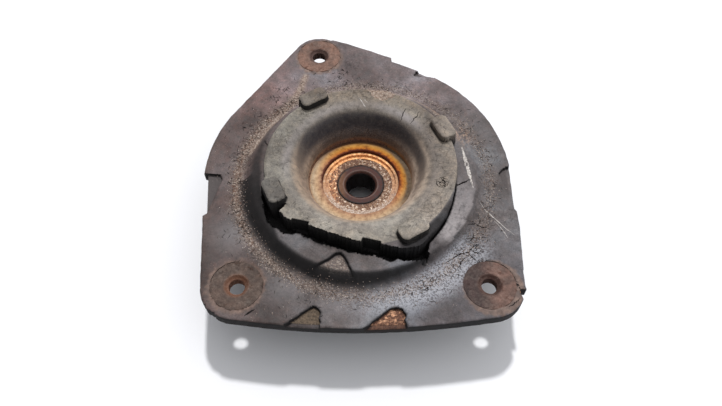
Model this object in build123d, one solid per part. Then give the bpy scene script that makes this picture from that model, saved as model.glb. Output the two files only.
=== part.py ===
"""Upper spring mount of a car's front strut, in millimetres.

The origin is the centre of the bearing that carries the damper rod. +Z points at the spring,
which is also up in the photograph, where the mount lies on its tower-side cup. +X is to the
right and +Y away from the viewer. Rubber bonds a flange plate, a seat cup and a tower cup
together, and a sealed ball bearing sits in the seat cup. The rubber is moulded in one go, and is
two solids here, parted at the plate's underside: the moulding above and the cushion below.
"""
from build123d import *
from math import atan2, cos, sin, tan, pi, radians
import os

# Sealed ball bearing
ROD_BORE = 14.2
BEARING_OD = 37.2
BEARING_WIDTH = 14.0
BORE_CHAMFER = 1.2
RING_CHAMFER = 0.6
INNER_RING_WALL = 4.2
OUTER_RING_WALL = 3.1
RACE_DEPTH = 1.1
RACE_CONFORMITY = 1.04
BALL_CLEARANCE = 0.05
BALL_SPACING = 3.6
CAGE_SHEET = 0.9
POCKET_CLEARANCE = 0.15
CAGE_CLEARANCE = 0.5
RIVET_D = 0.9
RIVET_HEAD_D = 1.6
RIVET_HEAD_H = 0.35
SHIELD_SHEET = 0.6
SHIELD_INSET = 0.25
SHIELD_GAP = 0.25
SHIELD_SEAT = 0.5

# Spring ring that keeps the bearing in its cup
CLIP_SHEET = 1.2
CLIP_SEAT = 0.8
CLIP_REACH = 1.4
CLIP_MOUTH = 4.0
CLIP_MOUTH_ANGLE = -119.0

# Seat cup, a steel pressing that holds the bearing and stiffens the rubber ring
SEAT_SHEET = 2.0
SEAT_LIP = 3.0
SEAT_LEDGE_RISE = 1.4
SEAT_LEDGE_WIDTH = 6.2
SEAT_FLANGE_R = 39.5
SEAT_BEND = 4.0

# Flange plate and the rubber over it
PLATE_SHEET = 3.0
RUBBER_SKIN = 1.5
RUBBER_RIM = 2.0
FLANGE_BASE_Z = 10.3

# Rubber funnel, ring and hump on the spring side, as radii and as heights above the flange
FUNNEL_SKIN = 1.8
FUNNEL_LEAN = 1.2
FUNNEL_STEEP_H = 5.4
MOUTH_R = 32.1
MOUTH_RISE = 8.85
MOUTH_ROUND = 10.0
RING_EDGE_R = 45.0
RING_RISE = 10.6
RING_ROUND = 1.6
HUMP_CENTRE = (1.2, -4.5)
HUMP_INNER_R = 40.0
HUMP_EDGE_R = 51.5
HUMP_RISE = 6.3
HUMP_ROUND = 2.2
HUMP_FOOT_R = 57.0
HUMP_FILLET = 7.0
COVER_R = 64.0

# Lugs on the ring: angle, and radius of the lug's middle
LUGS = ((24.5, 43.3), (122.7, 43.3), (206.5, 43.3), (300.3, 44.4))
LUG_LENGTH = 13.0
LUG_WIDTH = 8.0
LUG_TOP_RISE = 13.4
LUG_CORNER = 3.2
LUG_EDGE = 1.3

# Torn skirt at the front: a wide groove, then a slit, both following the ring
TEAR_OUTER_R = 47.2
TEAR_OUTER_SHIFT = 1.8
TEAR_INNER_R = 44.2
TEAR_INNER_SHIFT = 1.4
TEAR_START = 197.0
TEAR_END = 304.0
TEAR_DEPTH = 6.6
SLIT_R = 45.9
SLIT_WIDTH = 0.8
SLIT_END = 362.0
NOTCH_ANGLES = (230.8, 276.5)
NOTCH_WIDTH = 8.0
NOTCH_DEPTH = 1.2
NOTCH_HEIGHT = 8.5

# Tower cup, the steel pressing the mount lies on
CUP_SHEET = 2.0
CUP_CUSHION = 2.4
CUP_OPENING_R = 20.0
CUP_FOOT_R = 36.5
CUP_WALL_R = 41.5
CUP_FLANGE_WIDTH = 5.5
CUP_BEND = 4.0
PLATE_HOLE_CLEARANCE = 1.0

# Weld nuts at the three corners: name and centre
NUTS = {"nut_back": (-22.5, 77.8), "nut_left": (-53.6, -59.4), "nut_right": (55.8, -59.0)}
NUT_DISC_R = 11.5
NUT_SHANK_R = 8.0
THREAD_R = 3.4
COUNTERSINK_R = 5.2
COUNTERSINK_DEPTH = 1.2
NUT_CHAMFER = 0.5

# Outline of the flange: a corner round each nut, two large side arcs and a bulged front edge
CORNER_R = {"nut_back": 13.8, "nut_left": 15.8, "nut_right": 15.5}
LEFT_ARC_R = 75.1
RIGHT_ARC_CENTRE = (-2.5, 0.7)
RIGHT_ARC_R = 74.5
FRONT_BULGE = 4.4
BACK_TAB = ((16.0, 70.0), (17.0, 76.8), (-6.0, 87.2), (-16.0, 90.6), (-16.0, 80.0))
RIGHT_TAB = ((65.0, -21.5), (72.5, -21.5), (72.7, -30.0), (71.6, -52.0), (65.0, -52.0))

# Fin-shaped windows where the moulding tool held the steel: gentle end, tip, steep end
PLATE_WINDOWS = (
    ((-31.7, -76.7), (-22.0, -69.3), (-19.6, -69.3), (-16.8, -74.5)),
    ((0.4, -79.8), (13.5, -69.7), (17.3, -69.7), (18.7, -77.6)),
    ((71.8, -20.5), (66.1, 0.0), (68.6, 2.8), (72.0, 4.6)),
    ((38.5, 62.2), (27.8, 63.4), (31.0, 67.5)),
)
RIM_WINDOWS = (((-71.4, -23.5), (-66.0, -3.5), (-67.3, -0.7), (-74.8, -0.3)),)
HUMP_WINDOW = ((-20.8, -52.5), (-11.0, -46.4), (-8.4, -46.6), (-2.6, -55.8))
HUMP_WINDOW_DEPTH = 1.2
WORN_PATCH_ANGLE = 82.0
WORN_PATCH_R = 6.0
WORN_PATCH_DEPTH = 0.6

# Sizes that follow from the ones above
bore_r = ROD_BORE / 2
bearing_r = BEARING_OD / 2
bearing_top = BEARING_WIDTH / 2
inner_land_r = bore_r + INNER_RING_WALL
outer_land_r = bearing_r - OUTER_RING_WALL
pitch_r = (inner_land_r + outer_land_r) / 2
ball_r = (outer_land_r - inner_land_r) / 2 + RACE_DEPTH
ball_count = int(2 * pi * pitch_r / (2 * ball_r + BALL_SPACING))
race_r = (ball_r + BALL_CLEARANCE) * RACE_CONFORMITY
race_offset = race_r - ball_r - BALL_CLEARANCE
shield_top = bearing_top - SHIELD_INSET
ledge_top = bearing_top + CLIP_SHEET + SEAT_LEDGE_RISE
plate_base = FLANGE_BASE_Z + RUBBER_SKIN
plate_top = plate_base + PLATE_SHEET
flange_top = plate_top + RUBBER_SKIN
ring_top = flange_top + RING_RISE
mouth_z = flange_top + MOUTH_RISE
hump_top = flange_top + HUMP_RISE
lug_top = flange_top + LUG_TOP_RISE
funnel_foot_r = bearing_r + SEAT_LEDGE_WIDTH
seat_base = -bearing_top - SEAT_SHEET
cup_floor = seat_base - CUP_CUSHION
cup_flange_r = CUP_WALL_R + CUP_FLANGE_WIDTH
tear_floor = hump_top - TEAR_DEPTH
seat_bend_r = funnel_foot_r + FUNNEL_SKIN
funnel_slope = atan2(mouth_z - FUNNEL_SKIN - ledge_top, MOUTH_R - funnel_foot_r)


def turned(*points):
    """Solid of revolution about the strut axis from a closed section of (radius, z) points."""
    return revolve(Plane.XZ * make_face(Polyline(*points, close=True)), Axis.Z)


def turned_rounded(corners):
    """The same from (radius, z, rounding) corners."""
    outline = FilletPolyline(*[(r, z) for r, z, _ in corners],
                             radius=[rounding for _, _, rounding in corners], close=True)
    return revolve(Plane.XZ * make_face(outline), Axis.Z)


def pressed(corners, sheet):
    """Turned sheet pressing: its spring-side line of (radius, z, bend) corners, and its gauge."""
    line = FilletPolyline(*[(r, z) for r, z, _ in corners],
                          radius=[bend for _, _, bend in corners[1:-1]])
    section = offset(line, amount=sheet, side=Side.RIGHT, kind=Kind.INTERSECTION, closed=True)
    return revolve(Plane.XZ * make_face(section), Axis.Z)


def disc(radius, low, high, centre=(0, 0)):
    """Upright cylinder between two heights."""
    base = Plane(origin=(centre[0], centre[1], low))
    return extrude(base * Circle(radius), high - low)


def prism(points, low, high):
    """Upright prism on a polygon of plan points."""
    return extrude(Plane.XY.offset(low) * make_face(Polyline(*points, close=True)), high - low)


def at_angle(radius, angle):
    return radius * cos(radians(angle)), radius * sin(radians(angle))


def ball_places():
    return [at_angle(pitch_r, 360 * i / ball_count) for i in range(ball_count)]


def bearing_inner_ring():
    """Hardened ring with a chamfered bore and a half-round race."""
    ring = turned((bore_r + BORE_CHAMFER, -bearing_top), (inner_land_r, -bearing_top),
                  (inner_land_r, bearing_top), (bore_r + BORE_CHAMFER, bearing_top),
                  (bore_r, bearing_top - BORE_CHAMFER), (bore_r, -bearing_top + BORE_CHAMFER))
    return ring - Torus(pitch_r + race_offset, race_r)


def bearing_outer_ring():
    """Outer ring with its race and a seat for each shield."""
    edge = bearing_r - RING_CHAMFER
    ring = turned((outer_land_r, -bearing_top), (edge, -bearing_top),
                  (bearing_r, -bearing_top + RING_CHAMFER), (bearing_r, bearing_top - RING_CHAMFER),
                  (edge, bearing_top), (outer_land_r, bearing_top))
    ring -= Torus(pitch_r - race_offset, race_r)
    seat_r = outer_land_r + SHIELD_SEAT
    for side in (1, -1):
        low, high = sorted((side * shield_top, side * (shield_top - SHIELD_SHEET)))
        ring -= disc(seat_r, low, high)
    return ring


def shield(side):
    """Thin washer staked into the outer ring, clear of the inner one."""
    low, high = sorted((side * shield_top, side * (shield_top - SHIELD_SHEET)))
    return disc(outer_land_r + SHIELD_SEAT, low, high) - disc(inner_land_r + SHIELD_GAP, low, high)


def cage_half(side):
    """Half of a ribbon cage: a flat ring with a cup over each ball."""
    pocket_r = ball_r + POCKET_CLEARANCE
    reach = pocket_r + CAGE_SHEET
    inner_r, outer_r = inner_land_r + CAGE_CLEARANCE, outer_land_r - CAGE_CLEARANCE
    low, high = sorted((0, side * CAGE_SHEET))
    half = disc(outer_r, low, high)
    for x, y in ball_places():
        half += Pos(x, y, 0) * Sphere(reach)
    for x, y in ball_places():
        half -= Pos(x, y, 0) * Sphere(pocket_r)
    band_low, band_high = sorted((0, side * (reach + CAGE_SHEET)))
    half &= disc(outer_r, band_low, band_high) - disc(inner_r, band_low, band_high)
    for x, y in rivet_places():
        half -= disc(RIVET_D / 2, band_low, band_high, (x, y))
    return half


def rivet_places():
    return [at_angle(pitch_r, 360 * (i + 0.5) / ball_count) for i in range(ball_count)]


def cage_rivets():
    """One rivet between each pair of balls, headed on both faces of the cage."""
    rivets = []
    for place in rivet_places():
        rivet = disc(RIVET_D / 2, -CAGE_SHEET, CAGE_SHEET, place)
        rivet += disc(RIVET_HEAD_D / 2, CAGE_SHEET, CAGE_SHEET + RIVET_HEAD_H, place)
        rivet += disc(RIVET_HEAD_D / 2, -CAGE_SHEET - RIVET_HEAD_H, -CAGE_SHEET, place)
        rivets.append(rivet)
    return Compound(children=rivets)


def retaining_ring():
    """Flat spring ring, split at its mouth, that sprang into the cup's groove."""
    low, high = bearing_top, bearing_top + CLIP_SHEET
    ring = disc(bearing_r + CLIP_SEAT, low, high) - disc(bearing_r - CLIP_REACH, low, high)
    mouth = Rot(0, 0, CLIP_MOUTH_ANGLE) * Pos(bearing_r, 0, (low + high) / 2)
    return ring - mouth * Box(4 * (CLIP_REACH + CLIP_SEAT), CLIP_MOUTH, 2 * CLIP_SHEET)


def ring_face_z(radius):
    """Height of the ring's dished face at a radius."""
    slope = (ring_top - mouth_z) / (RING_EDGE_R - MOUTH_R)
    return mouth_z + slope * (radius - MOUTH_R)


def seat_cup():
    """Bearing seat with a lip below, a ledge above and a flared flange inside the ring."""
    cup = pressed([
        (bearing_r - SEAT_LIP, -bearing_top, 0),
        (bearing_r, -bearing_top, RING_CHAMFER / 2),
        (bearing_r, ledge_top, RING_CHAMFER),
        (seat_bend_r, ledge_top, SEAT_BEND),
        (MOUTH_R + FUNNEL_SKIN, mouth_z - FUNNEL_SKIN, SEAT_BEND),
        (SEAT_FLANGE_R, ring_face_z(SEAT_FLANGE_R) - FUNNEL_SKIN, 0),
    ], SEAT_SHEET)
    return cup - disc(bearing_r + CLIP_SEAT, bearing_top, bearing_top + CLIP_SHEET)


def seat_sheet_middle():
    """Points inside the seat cup's sheet, from the height of the plate's base to the ledge."""
    plate_r = seat_bend_r + (plate_base - ledge_top) / tan(funnel_slope)
    middle_z = ledge_top - SEAT_SHEET / 2
    at_plate_r = plate_r + SEAT_SHEET / 2 / sin(funnel_slope)
    return [(at_plate_r, plate_base, 0), (seat_bend_r, middle_z, 0)]


def cup_bends():
    """The tower cup's two bends on its spring side, where the cushion fills it."""
    return [(CUP_FOOT_R, cup_floor, CUP_BEND), (CUP_WALL_R, plate_base, CUP_BEND / 2)]


def tower_cup():
    """Flanged cup that closes the cushion on the tower side, open for the rod's nut."""
    line = [(CUP_OPENING_R, cup_floor, 0), *cup_bends(), (cup_flange_r, plate_base, 0)]
    return pressed(line, CUP_SHEET)


def flange_outline(inset):
    """Convex outline of the flange, moved inwards by an inset."""
    left, right, back = NUTS["nut_left"], NUTS["nut_right"], NUTS["nut_back"]
    corner = {name: radius - inset for name, radius in CORNER_R.items()}
    left_low = left[1] - corner["nut_left"]
    right_low = right[1] - corner["nut_right"]
    front_middle = ((left[0] + right[0]) / 2, (left_low + right_low) / 2 - FRONT_BULGE)
    edges = [
        CenterArc(back, corner["nut_back"], 40, 130),
        CenterArc((0, 0), LEFT_ARC_R - inset, 152, 28),
        CenterArc(left, corner["nut_left"], 170, 100),
        ThreePointArc((left[0], left_low), front_middle, (right[0], right_low)),
        CenterArc(right, corner["nut_right"], -90, 100),
        CenterArc(RIGHT_ARC_CENTRE, RIGHT_ARC_R - inset, 0, 66),
    ]
    return make_hull([arc.edge() for arc in edges])


def flange_plate():
    """Stamped plate with a hole for the cushion and one for each weld nut."""
    plate = extrude(Plane.XY.offset(plate_base) * flange_outline(RUBBER_RIM), PLATE_SHEET)
    plate -= disc(CUP_WALL_R + PLATE_HOLE_CLEARANCE, plate_base, plate_top)
    for centre in NUTS.values():
        plate -= disc(NUT_SHANK_R, plate_base, plate_top, centre)
    return plate


def nut_blank(centre):
    """Flanged nut before it is drilled: a disc flush with the rubber on a shank through it."""
    shank = disc(NUT_SHANK_R, FLANGE_BASE_Z, plate_top, centre)
    return shank + disc(NUT_DISC_R, plate_top, flange_top, centre)


def weld_nut(centre):
    """The nut drilled to its thread's inner radius and countersunk on both faces."""
    nut = nut_blank(centre) - disc(THREAD_R, FLANGE_BASE_Z, flange_top, centre)
    sink = turned((0, flange_top - COUNTERSINK_DEPTH), (THREAD_R, flange_top - COUNTERSINK_DEPTH),
                  (COUNTERSINK_R, flange_top), (0, flange_top))
    exit_sink = turned((0, FLANGE_BASE_Z), (THREAD_R + NUT_CHAMFER, FLANGE_BASE_Z),
                       (THREAD_R, FLANGE_BASE_Z + NUT_CHAMFER), (0, FLANGE_BASE_Z + NUT_CHAMFER))
    return nut - Pos(*centre, 0) * sink - Pos(*centre, 0) * exit_sink


def rubber_cushion(cup):
    """The rubber between the seat cup and the tower cup, up to the plate's underside."""
    seat_middle = bearing_r + SEAT_SHEET / 2
    opening_r = CUP_OPENING_R + SEAT_SHEET / 4
    cushion = turned_rounded([
        *cup_bends(),
        *seat_sheet_middle(),
        (seat_middle, ledge_top - SEAT_SHEET / 2, 0),
        (seat_middle, seat_base + SEAT_SHEET / 2, 0),
        (opening_r, seat_base + SEAT_SHEET / 2, 0),
        (opening_r, cup_floor, 0),
    ])
    return cushion - cup


def rubber_core():
    """Turned body of the moulding: funnel and ring on the flange, before anything is cut."""
    return turned_rounded([
        (funnel_foot_r, ledge_top, 0),
        (funnel_foot_r + FUNNEL_LEAN, ledge_top + FUNNEL_STEEP_H, 3.0),
        (MOUTH_R, mouth_z, MOUTH_ROUND),
        (RING_EDGE_R, ring_top, RING_ROUND),
        (RING_EDGE_R + 0.3, flange_top, 0),
        (COVER_R, flange_top, 0),
        (COVER_R, plate_base, 0),
        *seat_sheet_middle(),
        (funnel_foot_r, ledge_top - SEAT_SHEET / 2, 0),
    ])


def hump():
    """Low hump round the ring, wider at the front, with its inner side hidden in the ring."""
    around = turned_rounded([
        (HUMP_INNER_R, hump_top, 0),
        (HUMP_EDGE_R, hump_top, HUMP_ROUND),
        (HUMP_FOOT_R, flange_top, HUMP_FILLET),
        (COVER_R, flange_top, 0),
        (COVER_R, plate_base, 0),
        (HUMP_INNER_R, plate_base, 0),
    ])
    return Pos(*HUMP_CENTRE, 0) * around


def sector(start, end, reach, low, high):
    """Wedge of plan between two angles, out to a reach."""
    steps = 8
    rim = [at_angle(reach, start + (end - start) * i / steps) for i in range(steps + 1)]
    return prism([(0, 0)] + rim, low, high)


def torn_groove():
    """Where the skirt tore off the ring: wide at the front, a slit round to the right."""
    low, high = tear_floor, ring_top + LUG_TOP_RISE
    wide = disc(TEAR_OUTER_R, low, high, (0, -TEAR_OUTER_SHIFT))
    wide -= disc(TEAR_INNER_R, low, high, (0, TEAR_INNER_SHIFT))
    groove = wide & sector(TEAR_START, TEAR_END, 2 * TEAR_OUTER_R, low, high)
    slit = disc(SLIT_R + SLIT_WIDTH / 2, low, high) - disc(SLIT_R - SLIT_WIDTH / 2, low, high)
    groove += slit & sector(TEAR_END - 1, SLIT_END, 2 * SLIT_R, low, high)
    for angle in NOTCH_ANGLES:
        face_r = TEAR_INNER_R - TEAR_INNER_SHIFT
        notch = Box(2 * NOTCH_DEPTH, NOTCH_WIDTH, 2 * NOTCH_HEIGHT)
        groove += Rot(0, 0, angle) * Pos(face_r, 0, ring_top) * notch
    return groove


def lug(angle, radius):
    """Rounded block across the ring's edge that keys the spring seat."""
    base = Plane.XY.offset(tear_floor) * RectangleRounded(LUG_WIDTH, LUG_LENGTH, LUG_CORNER)
    block = extrude(base, lug_top - tear_floor)
    block = fillet(block.faces().sort_by(Axis.Z)[-1].edges(), LUG_EDGE)
    return Rot(0, 0, angle) * Pos(radius, 0, 0) * block


def window(points, low):
    """Prism over a fin-shaped window, carried out past the flange's edge."""
    outside = [(1.2 * x, 1.2 * y) for x, y in (points[-1], points[0])]
    return prism(list(points) + outside, low, hump_top)


def hump_window():
    """The window on the hump's front, as deep everywhere as its skin."""
    deep = HUMP_WINDOW_DEPTH
    skin = turned((HUMP_INNER_R, hump_top + deep), (HUMP_INNER_R, hump_top - deep),
                  (HUMP_EDGE_R - deep / 2, hump_top - deep),
                  (HUMP_FOOT_R - 1.5 * deep, flange_top), (COVER_R, flange_top),
                  (COVER_R, hump_top + deep))
    return Pos(*HUMP_CENTRE, 0) * skin & prism(HUMP_WINDOW, flange_top - deep, hump_top + deep)


def worn_patch():
    """Half-moon at the back of the ring where the skin is worn thin."""
    x, y = at_angle(RING_EDGE_R, WORN_PATCH_ANGLE)
    low = ring_face_z(RING_EDGE_R - WORN_PATCH_R) - WORN_PATCH_DEPTH
    return disc(WORN_PATCH_R, low, ring_top + LUG_TOP_RISE, (x, y))


def rubber_moulding(inserts):
    """The rubber above the plate's underside and round its edge, bonded to the inserts."""
    core = rubber_core() + hump() - torn_groove() - hump_window() - worn_patch()
    for angle, radius in LUGS:
        core += lug(angle, radius)
    cover = extrude(Plane.XY.offset(FLANGE_BASE_Z) * flange_outline(0), flange_top - FLANGE_BASE_Z)
    for tab in (BACK_TAB, RIGHT_TAB):
        cover += prism(tab, FLANGE_BASE_Z, flange_top)
    cover -= disc(HUMP_FOOT_R - HUMP_FILLET / 2, FLANGE_BASE_Z, flange_top)
    for points in PLATE_WINDOWS:
        cover -= window(points, plate_top)
    for points in RIM_WINDOWS:
        cover -= window(points, FLANGE_BASE_Z - CUP_SHEET)
    underside = disc(HUMP_FOOT_R, FLANGE_BASE_Z, plate_base)
    rubber = core + cover + (underside - disc(cup_flange_r, FLANGE_BASE_Z, plate_base))
    for insert in inserts:
        rubber -= insert
    return rubber


os.makedirs("parts", exist_ok=True)
parts = {
    "flange_plate": flange_plate(),
    "seat_cup": seat_cup(),
    "tower_cup": tower_cup(),
    "bearing_inner_ring": bearing_inner_ring(),
    "bearing_outer_ring": bearing_outer_ring(),
    "cage_upper": cage_half(1),
    "cage_lower": cage_half(-1),
    "cage_rivets": cage_rivets(),
    "shield_upper": shield(1),
    "shield_lower": shield(-1),
    "retaining_ring": retaining_ring(),
}
for number, (x, y) in enumerate(ball_places(), start=1):
    parts[f"ball_{number}"] = Pos(x, y, 0) * Sphere(ball_r)
for name, centre in NUTS.items():
    parts[name] = weld_nut(centre)
inserts = [parts["flange_plate"], parts["seat_cup"]]
inserts += [nut_blank(centre) for centre in NUTS.values()]
parts["rubber_moulding"] = rubber_moulding(inserts)
parts["rubber_cushion"] = rubber_cushion(parts["seat_cup"])
for name, shape in parts.items():
    export_step(shape, f"parts/{name}.step")
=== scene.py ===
"""Looks of a used upper spring mount, built round its CAD frame.

The mount lies spring side up on a pale floor, with +X to the right and +Y away from the camera.
Lengths are in millimetres, and each mesh is scaled to metres when it is made. Only the floor and
the camera are placed in metres.
"""
import math
import bpy
import numpy as np
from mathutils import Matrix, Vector
from mathutils.bvhtree import BVHTree

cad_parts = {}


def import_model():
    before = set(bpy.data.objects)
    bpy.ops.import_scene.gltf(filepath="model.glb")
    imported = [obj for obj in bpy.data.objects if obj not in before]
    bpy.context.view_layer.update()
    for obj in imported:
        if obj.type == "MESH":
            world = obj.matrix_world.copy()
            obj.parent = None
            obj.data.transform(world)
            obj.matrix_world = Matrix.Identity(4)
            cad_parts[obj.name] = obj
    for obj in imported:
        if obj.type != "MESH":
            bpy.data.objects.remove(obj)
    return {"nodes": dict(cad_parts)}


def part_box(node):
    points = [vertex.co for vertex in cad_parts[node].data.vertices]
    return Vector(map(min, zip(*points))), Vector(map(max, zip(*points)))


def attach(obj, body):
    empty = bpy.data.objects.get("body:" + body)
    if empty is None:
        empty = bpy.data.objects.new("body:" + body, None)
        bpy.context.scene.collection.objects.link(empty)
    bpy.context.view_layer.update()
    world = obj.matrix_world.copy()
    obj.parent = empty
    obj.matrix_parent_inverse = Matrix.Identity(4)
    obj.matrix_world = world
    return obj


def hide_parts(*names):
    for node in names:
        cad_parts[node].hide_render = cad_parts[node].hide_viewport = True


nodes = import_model()["nodes"]
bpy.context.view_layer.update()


# Rubber moulding. One skin of black rubber, moulded and bonded round the flange plate, the seat
# cup and the three nuts: funnel, lugged ring, low hump and flange. It is weathered, cracked and
# dusty, and the skirt between ring and hump is torn at the front.
MM = 0.001
FLANGE_TOP = 16.3
FLANGE_LOW = 10.3
PLATE_TOP = 14.8
HUMP_TOP = 22.6
HUMP_AT = (1.2, -4.5)
RING_TOP = 26.9
RING_EDGE = 45.25
LUG_TOP = 29.7
LUG_ROUND = 0.95
TEAR_FLOOR = 16.0
NOTCH_FLOOR = 18.4
WORN_AT, WORN_R, WORN_DEPTH = (11.2, 45.2), 7.2, 0.45
HUMP_WINDOW_DEPTH = 1.3
CUSHION_R = 47.05
RIM = 0.9
LOW_RIM = 0.6
NUTS = {"nut_back": (-22.5, 77.8), "nut_left": (-53.6, -59.4), "nut_right": (55.8, -59.0)}
NUT_R = 11.5
NUT_GAP = 0.08
NUT_OPENING = 6.6
SHANK_HOLE = 8.1
# Profiles: corners as radius, height and rounding. The underside's have no rounding.
RING = [(24.8, 9.6, 0), (26.0, 15.0, 3.0), (32.1, 25.15, 10.0), (45.0, RING_TOP, 1.6), (45.5, HUMP_TOP, 0)]
HUMP = [(0, HUMP_TOP, 0), (51.5, HUMP_TOP, 2.2), (57.0, FLANGE_TOP, 7.0), (99.0, FLANGE_TOP, 0)]
UNDERSIDE = [(CUSHION_R, 11.85), (28.9, 11.85), (26.6, 8.6), (24.9, 8.9)]
# Lugs: angle and radius. Notches: middle of the inner edge, slope and width.
LUGS = [(24.8, 43.6), (122.2, 43.9), (204.9, 43.2), (301.0, 44.4)]
NOTCHES = [(-26.5, -32.6, -13.5, 7.7), (4.9, -42.4, -14.0, 8.2)]
# Edges of the tear, from left to right, and outlines of the windows.
TEAR_INSIDE = [(-43.5, -12.7), (-41.8, -18.8), (-40.8, -24.0), (-36.2, -24.6), (-33.5, -23.7),
               (-36.3, -27.9), (-34.7, -30.0), (-31.4, -32.2), (-27.3, -34.5), (-22.4, -35.4),
               (-18.2, -36.6), (-11.1, -39.7), (-4.0, -42.2), (0.7, -43.3), (8.6, -44.6), (16.1, -46.5),
               (20.5, -46.7), (25.0, -45.7), (28.3, -43.1), (31.3, -39.3), (34.2, -35.7), (38.4, -28.9),
               (41.4, -21.5), (43.1, -14.7), (43.9, -10.3)]
TEAR_OUTSIDE = [(-44.9, -14.0), (-44.9, -18.4), (-43.9, -24.0), (-41.9, -30.5), (-39.3, -33.8),
                (-37.0, -33.8), (-35.6, -35.7), (-33.6, -37.0), (-30.0, -37.2), (-28.8, -36.1),
                (-24.5, -38.3), (-21.5, -40.2), (-17.6, -42.0), (-11.8, -43.9), (-4.7, -46.1),
                (0.1, -47.1), (6.1, -47.6), (9.3, -49.2), (11.8, -50.8), (13.3, -51.2), (15.9, -49.7),
                (18.7, -51.0), (22.5, -50.6), (26.0, -49.9), (27.5, -52.4), (30.4, -46.6), (29.2, -46.1),
                (30.0, -41.9), (31.9, -39.9), (34.5, -36.7), (36.8, -33.3), (38.9, -29.3), (40.8, -25.0),
                (42.3, -20.3), (43.5, -15.5), (44.3, -10.8)]
WINDOWS = [[(-31.5, -77.2), (-27.4, -74.4), (-21.2, -69.6), (-19.4, -69.2), (-17.8, -70.2), (-16.8, -72.0),
            (-17.6, -74.4), (-16.8, -76.4), (-20, -92), (-38, -92)],
           [(0.8, -79.9), (5.4, -76.0), (12.6, -70.3), (15.2, -69.5), (17.6, -70.4), (19.2, -72.8),
            (18.4, -75.0), (19.4, -77.6), (22, -92), (0, -92)],
           [(71.8, -20.5), (66.1, 0.0), (68.6, 2.8), (72.0, 4.6), (84, 6), (84, -24)],
           [(38.5, 62.2), (27.8, 63.4), (31.0, 67.5), (38, 80), (48, 72)]]
HUMP_WINDOW = [(-22.4, -54.6), (-14.6, -49.6), (-10.9, -46.6), (-8.6, -46.4), (-7.2, -47.6), (-5.2, -52.0),
               (-2.8, -57.6), (-22, -60)]


def ripple(x, y, size, seed):
    """Smooth noise about as large as size, mostly from -1 to 1."""
    rng = np.random.default_rng(seed)
    total = 0
    for _ in range(14):
        turn = rng.uniform(0, 2 * np.pi)
        pace = 2 * np.pi / size * rng.uniform(0.5, 1.4)
        total = total + np.sin(pace * (x * np.cos(turn) + y * np.sin(turn)) + rng.uniform(0, 2 * np.pi))
    return total / 4


def smooth(value, low, high):
    t = np.clip((value - low) / (high - low), 0, 1)
    return t * t * (3 - 2 * t)


def bell(value, middle, wide):
    """1 at the middle, fading to both sides."""
    return np.exp(-(((value - middle) / wide) ** 2))


def stretch(value, start, full, ebb, end):
    """1 along a stretch, fading smoothly before and after it."""
    return smooth(value, start, full) * (1 - smooth(value, ebb, end))


def around(radii, turns):
    """Places at these distances from the axis and at these angles."""
    return radii * np.cos(turns), radii * np.sin(turns)


def line_distance(x, y, points):
    """Distance to the nearest of the line's pieces."""
    best = np.full_like(x, 1e9)
    for (ax, ay), (bx, by) in zip(points[:-1], points[1:]):
        dx, dy = bx - ax, by - ay
        t = np.clip(((x - ax) * dx + (y - ay) * dy) / (dx * dx + dy * dy), 0, 1)
        best = np.minimum(best, np.hypot(x - ax - t * dx, y - ay - t * dy))
    return best


def polygon_distance(x, y, points):
    """Distance to a closed outline, less than 0 inside it."""
    inside = np.zeros(x.shape, bool)
    for (ax, ay), (bx, by) in zip(points, points[1:] + points[:1]):
        crosses = (ay > y) != (by > y)
        at = (bx - ax) * (y - ay) / (by - ay if by != ay else 1e-9) + ax
        inside ^= crosses & (x < at)
    return line_distance(x, y, points + points[:1]) * np.where(inside, -1, 1)


def window_distance(x, y, points):
    """Distance to a window's outline, which is a little uneven."""
    return polygon_distance(x, y, points) + 0.12 * ripple(x, y, 4, 5)


def lug_distance(x, y, angle, radius):
    """Distance to a lug's rounded outline, 8.2 x 14 mm with 2.6 mm corners."""
    c, s = math.cos(math.radians(angle)), math.sin(math.radians(angle))
    along, across = x * c + y * s - radius, y * c - x * s
    qx, qy = np.abs(along) - 1.5, np.abs(across) - 4.4
    return np.hypot(np.maximum(qx, 0), np.maximum(qy, 0)) + np.minimum(np.maximum(qx, qy), 0) - 2.6


def notch_distance(x, y, cx, cy, slope, width):
    """Distance to a square notch, 5 mm deep, in the ring's torn side."""
    c, s = math.cos(math.radians(slope)), math.sin(math.radians(slope))
    along, out = (x - cx) * c + (y - cy) * s, (x - cx) * s - (y - cy) * c
    return np.maximum(np.abs(along) - width / 2, np.abs(out - 2.5) - 2.5)


def from_nut(x, y):
    """Distance to the middle of the nearest nut."""
    return np.min([np.hypot(x - cx, y - cy) for cx, cy in NUTS.values()], axis=0)


def nut_distance(x, y):
    """Distance to the edge of the rubber round a nut."""
    return from_nut(x, y) - NUT_R - NUT_GAP


def tear_distance(x, y):
    """Distance to the tear's edges, ragged at the left and cleaner in the slit at the right."""
    ragged = 0.22 * ripple(x, y, 5, 3) + 0.14 * ripple(x, y, 1.9, 4)
    clean = smooth(x, 27, 33)
    return polygon_distance(x, y, TEAR_INSIDE + TEAR_OUTSIDE[::-1]) + ragged * (1 - 0.75 * clean)


def worn_distance(x, y):
    """Distance to the half-moon worn into the back of the ring, ragged at its edge."""
    return np.hypot(x - WORN_AT[0], y - WORN_AT[1]) - WORN_R + 0.5 * ripple(x, y, 3, 8)


def run_length(points):
    """Length along a line up to each of its points."""
    return np.concatenate([[0], np.cumsum(np.hypot(*np.diff(points, axis=0).T))])


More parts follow.
